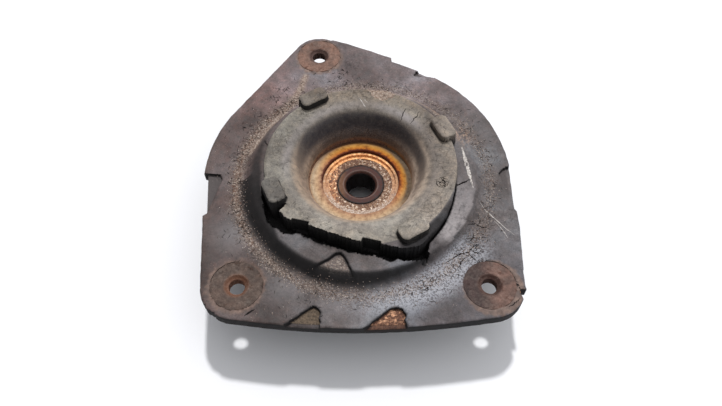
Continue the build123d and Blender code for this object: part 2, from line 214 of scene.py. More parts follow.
def rounded_line(corners):
    """Points along a line of (radius, height, rounding) corners."""
    found = [np.array(corners[0][:2])]
    for before, here, after in zip(corners[:-2], corners[1:-1], corners[2:]):
        p = np.array(here[:2])
        u = np.array(before[:2]) - p
        v = np.array(after[:2]) - p
        u /= np.linalg.norm(u)
        v /= np.linalg.norm(v)
        half = math.acos(np.clip(u @ v, -1, 1)) / 2
        if here[2] == 0:
            found.append(p)
            continue
        reach = here[2] / math.tan(half)
        middle = (u + v) / np.linalg.norm(u + v)
        centre = p + middle * here[2] / math.sin(half)
        start, end = p + u * reach - centre, p + v * reach - centre
        for t in np.linspace(0, 1, 9):
            d = start * (1 - t) + end * t
            found.append(centre + d / np.linalg.norm(d) * here[2])
    found.append(np.array(corners[-1][:2]))
    return np.array(found)


# Rows of points run round the axis: even along the ring's profile, and close together where the
# tear and the hump's flank are.
ring_line = rounded_line(RING)
hump_line = rounded_line(HUMP)
ring_length = run_length(ring_line)
ring_rows = np.linspace(0, np.interp(39.5, ring_line[:, 0], ring_length), 29)
ring_rows = np.interp(ring_rows, ring_length, ring_line[:, 0])
row_radii = np.concatenate([ring_rows, np.arange(39.9, 45.1, 0.42), [45.06], np.arange(45.5, 53, 0.43),
                            np.arange(53.3, 62.2, 0.62)])
# A height can only be looked up where each radius is larger than the last.
ring_line[:, 0] += np.arange(len(ring_line)) * 1e-6

# Columns stand closer at the tear, and closest at its right end.
fine_angle = np.linspace(-180, 180, 7201)
density = 1 + 0.55 * stretch(fine_angle, -172, -160, -35, -15)
density += 3.0 * bell(fine_angle, -41.3, 1.3)
share = np.concatenate([[0], np.cumsum(density[:-1])]) / density[:-1].sum()
COLUMNS = 692
degrees = np.interp(np.arange(COLUMNS) / COLUMNS, share, fine_angle)
angle = np.radians(degrees)

# The outline is the CAD moulding's, seen from its middle, chipped at two corners and with a split
# and its raised lip at the right.
MID_FLANGE = 10.9


def surface(mesh):
    """A mesh's faces, to find where a ray meets them."""
    return BVHTree.FromPolygons([v.co for v in mesh.vertices], [p.vertices for p in mesh.polygons])


moulding = surface(nodes["rubber_moulding"].data)
outline = []
for a in angle:
    out = Vector((math.cos(a), math.sin(a), 0))
    hit = moulding.ray_cast(out * 0.13 + Vector((0, 0, MID_FLANGE * MM)), -out)
    outline.append(math.hypot(hit[0].x, hit[0].y) / MM)
outline = np.array(outline)
x, y = around(outline, angle)
chipped = bell(degrees, -134, 6) + 0.8 * bell(degrees, 110, 2.5)
jag = ripple(x, y, 5.5, 11) + 0.6 * ripple(x, y, 1.6, 12)
outline -= 0.12 + 0.07 * ripple(x, y, 6.0, 13) + 0.8 * chipped * np.maximum(jag - 0.2, 0)
outline -= 2.6 * np.clip(1.4 - np.abs(degrees + 42.0) / 0.85, 0, 1)
outline += 0.6 * np.clip(1 - np.abs(degrees + 40.4) / 0.6, 0, 1)

# At the tear the ring ends half-way between the tear's edges.
seam_turn = np.linspace(-168, -8, 200)
tear_edges = [np.array(line).T for line in (TEAR_INSIDE, TEAR_OUTSIDE)]
seam_r = sum(np.interp(seam_turn, np.degrees(np.arctan2(ty, tx)), np.hypot(tx, ty))
             for tx, ty in tear_edges) / 2
seam_r[[0, -1]] = RING_EDGE


def top_height(x, y):
    """Height of the rubber's spring side over a place in plan."""
    r = np.hypot(x, y)
    hump_r = np.hypot(x - HUMP_AT[0], y - HUMP_AT[1])
    turn = np.degrees(np.arctan2(y, x))
    seam = np.interp(turn, seam_turn, seam_r)
    inside = np.interp(r - (seam - RING_EDGE) * smooth(r, 33, 45), *ring_line.T)
    sunk = stretch(r, 45, 47, 51, 58) * bell(turn, -108, 26)
    z = np.where(r < seam, inside, np.interp(hump_r, *hump_line.T) - 0.8 * sunk)
    z += (0.09 * ripple(x, y, 14, 1) + 0.05 * ripple(x, y, 4.5, 2)) * smooth(r, 30, 36)
    z = np.where(worn_distance(x, y) < 0, z - WORN_DEPTH, z)
    z = np.where(tear_distance(x, y) < 0, TEAR_FLOOR + 0.5 * ripple(x, y, 4, 6), z)
    for n in NOTCHES:
        z = np.where((notch_distance(x, y, *n) < 0) & (r < seam), np.minimum(z, NOTCH_FLOOR), z)
    for n, lug in enumerate(LUGS):
        d = lug_distance(x, y, *lug)
        edge = np.clip(d + LUG_ROUND, 0, LUG_ROUND)
        top = LUG_TOP - LUG_ROUND + np.sqrt(LUG_ROUND ** 2 - edge ** 2) + 0.08 * ripple(x, y, 6, 20 + n) - 0.1
        z = np.where(d < 0, np.maximum(z, top), z)
    in_hump = (window_distance(x, y, HUMP_WINDOW) < 0) & (r > seam)
    z = np.where(in_hump, z - HUMP_WINDOW_DEPTH * (1 - smooth(hump_r, 50.0, 55.0)), z)
    for window in WINDOWS:
        z = np.where(window_distance(x, y, window) < 0, PLATE_TOP - 0.15, z)
    return np.where(nut_distance(x, y) < 0, FLANGE_TOP - 0.5, z)


def low_height(x, y):
    """Height of the rubber's tower side, pulled up round the nuts' shanks."""
    z = FLANGE_LOW + 0.06 * (1 + ripple(x, y, 9, 30)) / 2
    return np.where(from_nut(x, y) < SHANK_HOLE, FLANGE_LOW + 0.5, z)


radii = [np.full(COLUMNS, r) for r in row_radii]
radii += [row_radii[-1] + t * (outline - RIM - row_radii[-1]) for t in np.linspace(0.03, 1, 33)]
top_rows = len(radii)
rim_turns = np.radians([22, 42, 60, 76, 90])
radii += [outline - RIM + RIM * np.sin(t) for t in rim_turns]
x, y = around(np.array(radii), angle)

# Points near an edge of the relief are moved onto it, to both sides, so that it is a clean step.
# Each edge is a distance function with what it needs beside the place.
edges = [(tear_distance,)]
edges += [(notch_distance, *notch) for notch in NOTCHES]
edges += [(window_distance, window) for window in WINDOWS + [HUMP_WINDOW]]
edges += [(lug_distance, *lug) for lug in LUGS]
edges += [(nut_distance,)]
PROBE = 0.05
ABOVE, BELOW = 0.05, -0.12
near_x, near_y = x[:top_rows - 1], y[:top_rows - 1]
for distance, *where in edges:
    d = distance(near_x, near_y, *where)
    slope_x = distance(near_x + PROBE, near_y, *where) - distance(near_x - PROBE, near_y, *where)
    slope_y = distance(near_x, near_y + PROBE, *where) - distance(near_x, near_y - PROBE, *where)
    slope_x, slope_y = slope_x / (2 * PROBE), slope_y / (2 * PROBE)
    steep = np.maximum(np.hypot(slope_x, slope_y), 0.5)
    reach = 0.32 + 0.22 * smooth(np.hypot(near_x, near_y), 55, 80)
    crossed = (d[:-1] > 0) != (d[1:] > 0)
    beside = np.pad(crossed, ((0, 1), (0, 0))) | np.pad(crossed, ((1, 0), (0, 0)))
    moved = (np.abs(d) < reach) | (beside & (np.abs(d) < 0.45))
    step = np.where(moved, np.where(d > 0, ABOVE, BELOW) - d, 0) / steep ** 2
    near_x += step * slope_x
    near_y += step * slope_y
z = top_height(x, y)
z[top_rows:] -= (RIM * (1 - np.cos(rim_turns)))[:, None]

# The skin goes on down the side, round the lower edge, along the tower side and up inside the
# funnel. The tower side's first row is lifted a little, which rounds the edge.
under = [(outline, z[-1] * (1 - t) + (FLANGE_LOW + LOW_RIM) * t) for t in (0.35, 0.7, 1.0)]
low_radii = [outline - 0.2, outline - LOW_RIM]
low_radii += [outline - LOW_RIM + t * (CUSHION_R + LOW_RIM - outline) for t in np.linspace(0.09, 1, 11)]
low_heights = [low_height(*around(r, angle)) for r in low_radii]
low_heights[0] += 0.25
under += zip(low_radii, low_heights)
under += [(np.full(COLUMNS, r), np.full(COLUMNS, height)) for r, height in UNDERSIDE]
x = np.vstack([x] + [r * np.cos(angle) for r, _ in under])
y = np.vstack([y] + [r * np.sin(angle) for r, _ in under])
z = np.vstack([z] + [height for _, height in under])

index = np.arange(x.size).reshape(x.shape)
after = np.roll(index, -1, axis=1)
below, below_after = np.roll(index, -1, axis=0), np.roll(after, -1, axis=0)
quads = np.stack([index, below, below_after, after], -1).reshape(-1, 4)
x, y, z = x.ravel(), y.ravel(), z.ravel()
quads = quads[from_nut(x[quads].mean(1), y[quads].mean(1)) > NUT_OPENING]
used, quads = np.unique(quads, return_inverse=True)
x, y, z, quads = x[used], y[used], z[used], quads.reshape(-1, 4)


def new_object(name, data):
    made = bpy.data.objects.new(name, data)
    bpy.context.scene.collection.objects.link(made)
    return made


def mesh_object(name, points, faces, sharp=40):
    """A smooth-shaded mesh from points in millimetres."""
    mesh = bpy.data.meshes.new(name)
    mesh.from_pydata((np.asarray(points) * MM).tolist(), [], np.asarray(faces).tolist())
    mesh.shade_smooth()
    mesh.set_sharp_from_angle(angle=math.radians(sharp))
    return new_object(name, mesh)


def set_mark(piece, name, values):
    """Stores a number for each point of a piece, which its material reads by name."""
    marked = piece.data.attributes.new(name, "FLOAT", "POINT")
    marked.data.foreach_set("value", values.astype(np.float32))


rubber = mesh_object("rubber_skin", np.stack([x, y, z], -1), quads, 50)

# Marks on the skin: numbers at each of its points that say where its weathering and its painted
# shade lie, from 0 to 1, and lift, which says how much lighter the rubber is. Angles are in degrees
# from the right, and hump_turn is round the hump's own middle.
DUST_TRAIL = [(-29.2, 62.8), (-31.0, 54.8), (-34.3, 46.9), (-37.6, 40.2), (-42.7, 30.8), (-47.2, 24.4),
              (-51.4, 16.3), (-53.8, 12.0)]
STAINS = [(57.3, -60.4, 13.0), (-53.8, -59.8, 12.6), (-22.0, 76.9, 12.4)]
# Lighter and darker patches: place, width and how much lighter.
PATCHES = [(-44.2, 46.3, 13.0, 1.05), (36.2, 53.2, 12.0, 0.4), (-37.7, -48.0, 6.5, -0.62),
           (-6.5, -73.1, 14.0, 0.3), (33.8, -66.3, 8.0, -0.3), (48.5, -44.5, 9.0, -0.48),
           (-31.5, -46.5, 6.0, -0.3), (63.2, -31.6, 7.0, 0.12), (63.3, -9.7, 8.0, -0.2),
           (-61.7, -42.0, 9.0, 0.16), (-5.6, 63.8, 10.0, 0.10), (39.6, 18.3, 6.5, 0.22),
           (-9.8, -35.8, 8.0, 0.22), (10.5, -51.0, 6.0, 0.16), (36.0, -24.0, 6.0, -0.12)]
LUG_SOOT = (0.0, 0.6, 0.75, 0.0)


def spot(cx, cy, spread):
    """1 at a place on the skin, fading all round."""
    return np.exp(-((x - cx) ** 2 + (y - cy) ** 2) / spread)


r = np.hypot(x, y)
turn = np.degrees(np.arctan2(y, x))
hump_r = np.hypot(x - HUMP_AT[0], y - HUMP_AT[1])
hump_turn = np.degrees(np.arctan2(y - HUMP_AT[1], x - HUMP_AT[0]))
upper = z > FLANGE_LOW + 2
specks = ripple(x, y, 2.0, 90)
left = 0.5 + 0.5 * np.cos(np.radians(turn - 175))
in_tear = tear_distance(x, y) < 0.12
in_notch = np.min([notch_distance(x, y, *notch) for notch in NOTCHES], axis=0) < 0.1
worn = worn_distance(x, y) < 0.1
lug_d = np.min([lug_distance(x, y, *lug) for lug in LUGS], axis=0)
window_d = np.array([polygon_distance(x, y, window) for window in WINDOWS])
in_front_window = (window_d[:2].min(axis=0) < 0.2) * (z < 15.6) * upper
# Painted shade along the windows' back walls, which face away from the sun.
shaded_wall_lines = [window[:-2] for window in WINDOWS[:2]] + [HUMP_WINDOW[:-1]]
to_shaded_wall = np.min([line_distance(x, y, line) for line in shaded_wall_lines], axis=0)
trail_d = line_distance(x, y, DUST_TRAIL)
stain_d = np.min([np.hypot(x - cx, y - cy) - wide for cx, cy, wide in STAINS], axis=0)
hump_foot = bell(hump_r, 60.0, 3.2)
seam = np.interp(turn, seam_turn, seam_r)
back_seam = np.interp(turn, [20, 31, 52, 82, 107, 125, 140], [48.2, 48.4, 48.8, 50.7, 52.6, 53.7, 54.5])
back_dust = bell(r, back_seam, 0.9) * stretch(turn, 12, 30, 128, 150)
flank_start = np.interp(hump_turn, [-180, -150, -136, 152, 170, 180], [46.3, 46.3, 49.8, 49.8, 48.0, 46.3])
flank_end = np.interp(hump_turn, [-180, -150, -128, -112, -88, -62, -48],
                      [59.5, 58.8, 57.4, 58.0, 57.6, 55.0, 54.0])
flank = stretch(hump_r, flank_start, flank_start + 2.4, flank_end - 3.0, flank_end + 0.8)
# The flank's painted shade: full from the left round to the front, fading at the front right and the back
# left.
flank *= np.interp(turn, [-180, -165, -150, -62, -52, -38, 150, 165, 180],
                   [0.85, 1, 1, 1, 0.6, 0, 0, 0.6, 0.85])
# The ring's side wall at the right of the tear, which gets painted shade.
ring_side = smooth(r, 45.0, 46.6) * (r < seam + 0.1) * (z > 19) * (lug_d > 0.1) * smooth(x, 15, 18.5)
crescent = (r > seam + 0.8) * (hump_r < 52.5) * smooth(x, 28, 33) * stretch(turn, -52, -44, -14, -4)
funnel_shade_end = np.interp(turn, [-30, 0, 20, 55, 90, 150, 180], [30.5, 32.3, 32.0, 32.8, 33.2, 33.5, 32.0])
marks = {
    "dust": 0.9 * back_dust * (0.7 + 0.3 * ripple(x, y, 6, 70)) + hump_foot * (0.25 + 0.6 * left)
            + 0.95 * bell(trail_d, 0, 1.9) + 0.9 * worn
            + 0.75 * (polygon_distance(x, y, HUMP_WINDOW) < -0.6) * (hump_r < 53),
    "rust": 0.6 * hump_foot * left ** 2 + 0.25 * bell(from_nut(x, y), 11.4, 2.4) * upper + 0.2 * worn
            + 0.75 * (1 - smooth(z, 9.6, 14.0)) * (r < 29)
            * np.interp(turn, [-70, -40, 40, 70], [1, 0.15, 0.15, 1])
            + 0.9 * in_front_window * (x > 0),
    "stain": (1 - smooth(stain_d + 0.5 * ripple(x, y, 4, 71), -0.4, 0.9)) * (z > 14),
    # Painted shade, near black, in the tear, in the notches, on the hump's flank, round the lugs' feet, along
    # the windows' back walls and edges, on the window floors and on the ring's side wall; in the tear it is
    # partly dirt.
    "shade_and_dirt": in_tear * (r > 38) * (r < 54) * (z < 24) + in_notch * (r < 46) + 0.97 * flank * (z > 15)
            + 0.9 * bell(lug_d, 0, 0.4) * (z < 28.9) * (r > 36) * (r < 50)
            + 0.97 * bell(to_shaded_wall, 0, 0.62) * (1 - smooth(hump_r, 54.0, 57.0) * (hump_r < 62))
            + 0.35 * in_front_window + 0.6 * bell(np.abs(window_d).min(axis=0), 0, 0.4) * (z < 16.2) * upper
            + ring_side * np.interp(turn, [-60, -44, -34, -14, -8], [0.9, 0.8, 0.6, 0.5, 0]),
    "crack": 0.12 + 0.35 * spot(50, -36, 220) + 0.3 * spot(-10, 64, 120)
             + 0.25 * stretch(r, 33, 38, 44, 46),
    "frost": stretch(hump_r, flank_end - 1, flank_end + 2, 64, 74) * stretch(hump_turn, -108, -70, -42, -24),
    "pale": 0.9 * spot(-57, -33, 110) + 0.7 * spot(-34, -60, 60),
    "moon": worn + 0.8 * bell(trail_d, 0, 1.5) * (z > 15)
            + bell(r - back_seam, 2.2, 1.4) * smooth(specks, -1.2, 0.2)
            * np.interp(turn, [10, 24, 46, 62, 90, 110], [0, 0.85, 0.85, 0.5, 0.3, 0])
            + 0.75 * (specks > 0.35) * bell(x, 51.2, 3.2) * bell(y, 23.0, 9.0),
    "sheen": crescent * np.interp(turn, [-50, -36, -22, -10], [0.9, 0.85, 0.45, 0.3])
             + bell(r, 35.0, 2.2) * np.interp(turn, [-180, -160, -60, 30, 48, 70, 84, 105, 122, 150, 180],
                                              [0.5, 0.1, 0.15, 0.1, 0.9, 0.6, 0.25, 0.5, 0.5, 0.3, 0.5]),
    "ring": np.maximum((1 - smooth(r, 45.0, 45.6)) * (z > 20.0), (lug_d < 0.1) * (z > 25.5)),
    "funnel": 1 - smooth(r, 30.5, 34.0),
    # Painted shade, blue black, on the funnel's upper wall, most at the back, which faces away from the sun.
    "funnel_shade": smooth(z, 15.5, 19.0) * (1 - smooth(r, funnel_shade_end - 2.4, funnel_shade_end))
            * np.interp(turn, [-180, -172, -160, -32, -10, 12, 150, 180],
                        [0.5, 0.3, 0, 0.05, 0.62, 0.95, 1, 0.5]),
    "sooty": np.max([tone * (1 - smooth(lug_distance(x, y, *lug), 0.0, 0.4)) * (z > 26.5)
                     for lug, tone in zip(LUGS, LUG_SOOT)], axis=0),
    "lit": smooth(x, 31, 35) * smooth(z, 22.2, 23.2),
}
marks = {name: np.clip(values, 0, 1) for name, values in marks.items()}
for name in ("dust", "stain", "crack", "frost", "pale"):
    marks[name] = marks[name] * upper
marks["lift"] = sum(gain * spot(cx, cy, wide ** 2) for cx, cy, wide, gain in PATCHES) * upper
for name, values in marks.items():
    set_mark(rubber, name, values)


def feed(made, sockets={}, **named):
    """Links a node's sockets to outputs or sets them to values. A named socket has _ for a space."""
    for key, value in {**sockets, **named}.items():
        socket = made.inputs[key.replace("_", " ") if isinstance(key, str) else key]
        if isinstance(value, bpy.types.NodeSocket):
            made.id_data.links.new(value, socket)
        else:
            socket.default_value = (*value, 1) if socket.type == "RGBA" else value


def node(kind, sockets, beside=None, **settings):
    """A node in the tree of the outputs that feed it; one that none feeds goes beside another."""
    if beside is None:
        beside = next(value for value in sockets.values() if isinstance(value, bpy.types.NodeSocket))
    made = beside.id_data.nodes.new(kind)
    for key, value in settings.items():
        setattr(made, key, value)
    feed(made, sockets)
    return made


def mix(factor, a, b, blend="MIX"):
    return node("ShaderNodeMix", {0: factor, 6: a, 7: b}, data_type="RGBA", blend_type=blend).outputs[2]


def tint(colour, by, factor=1.0):
    return mix(factor, colour, by, "MULTIPLY")


def blend_number(factor, a, b):
    return node("ShaderNodeMix", {0: factor, 2: a, 3: b}).outputs[0]


def reckon(operation, *values):
    return node("ShaderNodeMath", dict(enumerate(values)), operation=operation).outputs[0]


def times(a, b):
    return reckon("MULTIPLY", a, b)


def plus(a, b):
    return reckon("ADD", a, b)


def minus(a, b):
    return reckon("SUBTRACT", a, b)


def larger(a, b):
    return reckon("MAXIMUM", a, b)


def times_plus(a, b, c):
    """a times b, plus c."""
    return reckon("MULTIPLY_ADD", a, b, c)


def between(value, low, high, to_low=0.0, to_high=1.0):
    """Goes smoothly from to_low to to_high as the value goes from low to high."""
    sockets = {"Value": value, "From Min": low, "From Max": high, "To Min": to_low, "To Max": to_high}
    return node("ShaderNodeMapRange", sockets, interpolation_type="SMOOTHSTEP").outputs[0]


def ramp(value, *stops):
    made = node("ShaderNodeValToRGB", {0: value})
    elements = made.color_ramp.elements
    for _ in stops[2:]:
        elements.new(0.5)
    for element, (position, colour) in zip(elements, stops):
        element.position = position
        element.color = (*colour, 1)
    return made.outputs[0]


def noise(place, scale, detail=5.0, rough=0.6, output="Fac"):
    sockets = {"Vector": place, "Scale": scale, "Detail": detail, "Roughness": rough}
    return node("ShaderNodeTexNoise", sockets).outputs[output]


def bump(height, strength, distance=0.0004):
    return node("ShaderNodeBump", {"Strength": strength, "Distance": distance, "Height": height}).outputs[0]


def millimetres(beside, offset=(0, 0, 0)):
    """The object's own coordinates in millimetres."""
    own = node("ShaderNodeTexCoord", {}, beside).outputs["Object"]
    sockets = {0: own, 1: (1000, 1000, 1000), 2: offset}
    return node("ShaderNodeVectorMath", sockets, operation="MULTIPLY_ADD").outputs[0]


def axes(place):
    """The place's three numbers: to the right, to the back and up."""
    return node("ShaderNodeSeparateXYZ", {0: place}).outputs[:]


def from_axis(right, back):
    """Distance from the strut's axis."""
    return reckon("SQRT", times_plus(right, right, times(back, back)))


def mark(beside, name):
    return node("ShaderNodeAttribute", {}, beside, attribute_name=name).outputs["Fac"]


def material(name):
    """A new material and its Principled shader."""
    made = bpy.data.materials.new(name)
    made.use_nodes = True
    return made, made.node_tree.nodes["Principled BSDF"]


def group(name, inputs, outputs):
    """An empty shader group with named colour (4 numbers) and number sockets."""
    made = bpy.data.node_groups.new(name, "ShaderNodeTree")
    for key, value in inputs.items():
        kind = "NodeSocketColor" if isinstance(value, tuple) else "NodeSocketFloat"
        made.interface.new_socket(key, in_out="INPUT", socket_type=kind).default_value = value
    for key in outputs:
        kind = "NodeSocketColor" if key == "Color" else "NodeSocketFloat"
        made.interface.new_socket(key, in_out="OUTPUT", socket_type=kind)
    return made, made.nodes.new("NodeGroupInput").outputs, made.nodes.new("NodeGroupOutput")


def use(made, **sockets):
    """A group in the tree of the outputs that feed it."""
    return node("ShaderNodeGroup", sockets, node_tree=made).outputs


# Fine speckled dust that lies on a surface: more of it where Amount is high.
dust_group, given, result = group("Dust", {"Color": (0.1, 0.1, 0.1, 1), "Roughness": 0.7, "Amount": 0.3},
                                  ("Color", "Roughness", "Height"))
place = millimetres(result)
limit = times_plus(given["Amount"], -0.36, 0.72)
speckle = between(noise(place, 1.5, 4.0, 0.75), limit, plus(limit, 0.1))
film = times(given["Amount"], between(noise(place, 0.22, 5.0, 0.65), 0.35, 0.7, 0.15, 0.75))
cover = larger(times(speckle, 0.75), film)
sand = ramp(noise(place, 0.9, 4.0, 0.7), (0.34, (0.12, 0.08, 0.062)), (0.5, (0.31, 0.24, 0.20)),
            (0.64, (0.58, 0.50, 0.43)))
feed(result, Color=mix(cover, given["Color"], sand), Roughness=blend_number(cover, given["Roughness"], 0.95),
     Height=times(speckle, 0.5))

# Rust that breaks through bare steel in patches: more of it where Amount is high.
rust_group, given, result = group("Rust", {"Color": (0.5, 0.5, 0.5, 1), "Roughness": 0.4, "Amount": 0.5,
                                           "Scale": 0.5}, ("Color", "Roughness", "Metallic", "Height"))
place = millimetres(result, (31, 17, 5))
limit = times_plus(given["Amount"], -0.6, 0.74)
cover = between(noise(place, given["Scale"], 8.0, 0.72), limit, plus(limit, 0.12))
grain = noise(place, 1.3, 6.0, 0.7)
rust = ramp(grain, (0.3, (0.050, 0.027, 0.021)), (0.48, (0.13, 0.062, 0.042)), (0.62, (0.23, 0.115, 0.070)),
            (0.78, (0.40, 0.23, 0.14)))
feed(result, Color=mix(cover, given["Color"], rust), Roughness=blend_number(cover, given["Roughness"], 0.88),
     Metallic=minus(1.0, cover), Height=times(cover, grain))

WHITE = (1, 1, 1)
GLINT = (0.36, 0.325, 0.325)
PALE_GREY = (0.175, 0.165, 0.170)
FROST = (0.38, 0.385, 0.42)
SHADE_BLUE_BLACK = (0.020, 0.019, 0.025)
STAIN_ORANGE = (0.30, 0.125, 0.035)
CRACK_BLACK = (0.012, 0.011, 0.011)
SHADE_AND_DIRT_BLACK = (0.007, 0.0065, 0.007)


def rubber_material(name, marked):
    """Weathered rubber; where marked, with what lies on the moulding as well."""
    made, shader = material(name)
    place = millimetres(shader)
    right, back, _ = axes(place)
    patch = noise(place, 0.04, 5.0, 0.6)
    mottle = noise(place, 0.33, 7.0, 0.68)
    grain = noise(place, 1.9, 4.0, 0.7)
    flange = ramp(patch, (0.36, (0.052, 0.041, 0.040)), (0.46, (0.088, 0.073, 0.072)),
                  (0.56, (0.118, 0.106, 0.109)), (0.64, (0.140, 0.139, 0.148)))
    flange = tint(flange, mix(between(back, 25.0, 55.0), WHITE, (1.42, 1.30, 1.32)))
    flange = tint(flange, mix(between(right, -15.0, -60.0), WHITE, (0.88, 0.69, 0.64)))
    # Painted reflection: the flange is lighter and bluer at the front right.
    front_right_sheen = times(between(right, 0.0, 30.0), between(back, -25.0, -60.0))
    flange = mix(front_right_sheen, flange, tint(flange, (1.10, 1.16, 1.26)))
    ring = ramp(patch, (0.38, (0.130, 0.114, 0.096)), (0.5, (0.185, 0.166, 0.139)),
                (0.62, (0.235, 0.220, 0.190)))
    frontward = mix(between(back, -8.0, -36.0), WHITE, (1.28, 1.26, 1.26))
    ring = tint(ring, mix(between(back, 22.0, 44.0), frontward, (0.92, 0.79, 0.71)))
    ring = mix(between(right, 15.0, 38.0), ring, tint(ring, (1.22, 1.14, 1.12)))
    colour = mix(mark(shader, "ring") if marked else 0.0, flange, ring)
    if marked:
        sockets = {0: colour, "Scale": plus(mark(shader, "lift"), 1.0)}
        colour = node("ShaderNodeVectorMath", sockets, operation="SCALE").outputs[0]
        colour = mix(mark(shader, "sooty"), colour, tint(colour, (0.45, 0.45, 0.48)))
    clouds = ramp(mottle, (0.3, (0.46, 0.45, 0.45)), (0.5, (0.97, 0.97, 0.97)), (0.72, (1.5, 1.45, 1.4)))
    grit = ramp(grain, (0.32, (0.45, 0.45, 0.45)), (0.55, (1.05, 1.05, 1.05)), (0.75, (1.7, 1.7, 1.7)))
    colour = tint(tint(colour, clouds), grit, 0.65)
    rough = between(mottle, 0.3, 0.7, 0.5, 0.78)
    height = plus(times(mottle, 0.6), times(grain, 0.3))
    if marked:
        colour, rough, height = weathered(place, mottle, grain, colour, rough, height)
    feed(shader, Base_Color=colour, Roughness=rough, Specular_IOR_Level=0.3, Normal=bump(height, 0.6))
    return made


def weathered(place, mottle, grain, colour, rough, height):
    """Lays scuffs, stains, rust, dust and cracks where the skin's marks say, and painted shade and dirt."""
    right, back, up = axes(place)

    def lay(under, over, name, *breaks):
        """A colour over another where the mark is, broken up between two values of a noise."""
        return mix(times(mark(place, name), between(*breaks)), under, over)

    colour = lay(colour, GLINT, "sheen", mottle, 0.3, 0.6, 0.4, 1.0)
    colour = lay(colour, PALE_GREY, "pale", mottle, 0.3, 0.6, 0.45, 0.9)
    chalk = ramp(grain, (0.36, (0.15, 0.09, 0.065)), (0.5, (0.38, 0.25, 0.18)), (0.64, (0.60, 0.44, 0.33)))
    colour = mix(times(mark(place, "moon"), 0.85), colour, chalk)
    brown = ramp(mottle, (0.32, (0.070, 0.042, 0.034)), (0.5, (0.150, 0.098, 0.078)),
                 (0.66, (0.255, 0.175, 0.140)))
    colour = lay(colour, brown, "stain", grain, 0.3, 0.6, 0.7, 0.97)
    salt = between(noise(place, 1.25, 5.0, 0.8), 0.42, 0.53)
    colour = lay(colour, FROST, "frost", salt, 0.0, 1.0, 0.0, 0.9)

    funnel = mark(place, "funnel")
    speck = ramp(grain, (0.36, (0.022, 0.014, 0.013)), (0.52, (0.075, 0.050, 0.040)),
                 (0.66, (0.20, 0.145, 0.115)))
    # The funnel's lining: tan, lighter at the right as painted light where the wall is in shade, and speckled
    # brown at the back.
    tan_lining = mix(between(right, 8.0, 24.0), (0.38, 0.28, 0.205), (0.50, 0.395, 0.31))
    lining = mix(between(back, 2.0, 26.0), tan_lining, speck)
    colour = lay(colour, lining, "funnel", mottle, 0.35, 0.65, 0.4, 0.95)
    colour = lay(colour, SHADE_BLUE_BLACK, "funnel_shade", mottle, 0.34, 0.6, 0.7, 0.92)
    glow = times(between(up, 9.6, 13.0, 0.9, 0.0), between(back, -10.0, 12.0))
    colour = mix(times(glow, funnel), colour, STAIN_ORANGE)

    rusty = use(rust_group, Color=colour, Roughness=rough, Amount=mark(place, "rust"), Scale=0.35)
    dusty = use(dust_group, Color=rusty["Color"], Roughness=rusty["Roughness"],
                Amount=times_plus(mark(place, "dust"), 0.9, 0.08))

    sockets = {0: noise(place, 0.45, 5.0, 0.7, "Color"), 1: (5, 5, 5), 2: place}
    warp = node("ShaderNodeVectorMath", sockets, operation="MULTIPLY_ADD").outputs[0]
    wide, thin = [node("ShaderNodeTexVoronoi", {"Vector": warp, "Scale": scale},
                       feature="DISTANCE_TO_EDGE").outputs[0] for scale in (0.15, 0.34)]
    crack = mark(place, "crack")
    broken = between(noise(place, 0.16, 4.0, 0.6), 0.46, 0.58)
    patchy = between(noise(place, 0.1, 3.0), 0.48, 0.62)
    line = times(times(between(wide, 0.022, 0.0), between(crack, 0.1, 0.6)), broken)
    fine = times(between(thin, 0.04, 0.0), times(crack, patchy))
    deep = larger(line, fine)
    colour = mix(times(deep, 0.8), dusty["Color"], CRACK_BLACK)

    # Painted shade: steep walls outside the funnel are painted near black, less where lit is marked, and so
    # is the marked shade and dirt.
    slope = axes(node("ShaderNodeNewGeometry", {}, place).outputs["True Normal"])[2]
    steep = times(between(slope, 0.7, 0.35), minus(1.0, funnel))
    steep = times(steep, between(mark(place, "lit"), 0.0, 1.0, 1.0, 0.25))
    shade_and_dirt_cover = larger(mark(place, "shade_and_dirt"), steep)
    colour = mix(times(shade_and_dirt_cover, 0.95), colour, SHADE_AND_DIRT_BLACK)
    rough = blend_number(shade_and_dirt_cover, dusty["Roughness"], 0.85)
    return colour, rough, minus(plus(height, dusty["Height"]), times(deep, 1.6))


rubber.data.materials.append(rubber_material("rubber_weathered", True))
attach(rubber, "mount")
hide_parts("rubber_moulding")


# Cracks, scuffs and scratches. Age has split the rubber's skin into short jagged cracks, and
# knocks have left pale marks. Each is a thin ribbon laid on the skin, along its line.
CRACKS = [[(36.1, -49.8), (40.1, -47.0), (44.1, -44.1), (48.0, -43.1), (49.4, -41.2), (51.4, -39.4),
           (53.3, -40.9), (54.7, -42.7)],
          [(54.7, -42.7), (52.3, -44.1), (49.3, -42.0)],
          [(47.7, -43.1), (49.1, -45.2), (50.5, -46.7), (51.9, -48.4)],
          [(46.5, -45.6), (44.4, -47.7), (43.6, -49.8), (42.6, -51.2)],
          [(46.5, -37.3), (50.5, -35.9), (53.7, -35.6), (57.6, -35.5)],
          [(48.3, -31.0), (51.8, -29.1), (55.5, -30.2), (59.3, -31.4)],
          [(53.5, -24.1), (54.6, -26.4), (53.7, -29.5)], [(50.7, -33.2), (50.9, -35.5), (48.3, -38.4)],
          [(51.9, -48.4), (48.5, -51.9), (46.5, -56.1), (46.4, -60.9)],
          [(62.6, -69.5), (65.2, -68.2), (68.2, -65.6)], [(22.3, 32.4), (20.8, 29.0), (19.6, 25.5)],
          [(24.0, 23.4), (27.3, 26.5), (28.4, 29.6)], [(37.0, -9.4), (38.6, -12.6), (36.6, -15.0)],
          [(34.8, -11.0), (37.0, -12.6), (40.2, -11.8)]]
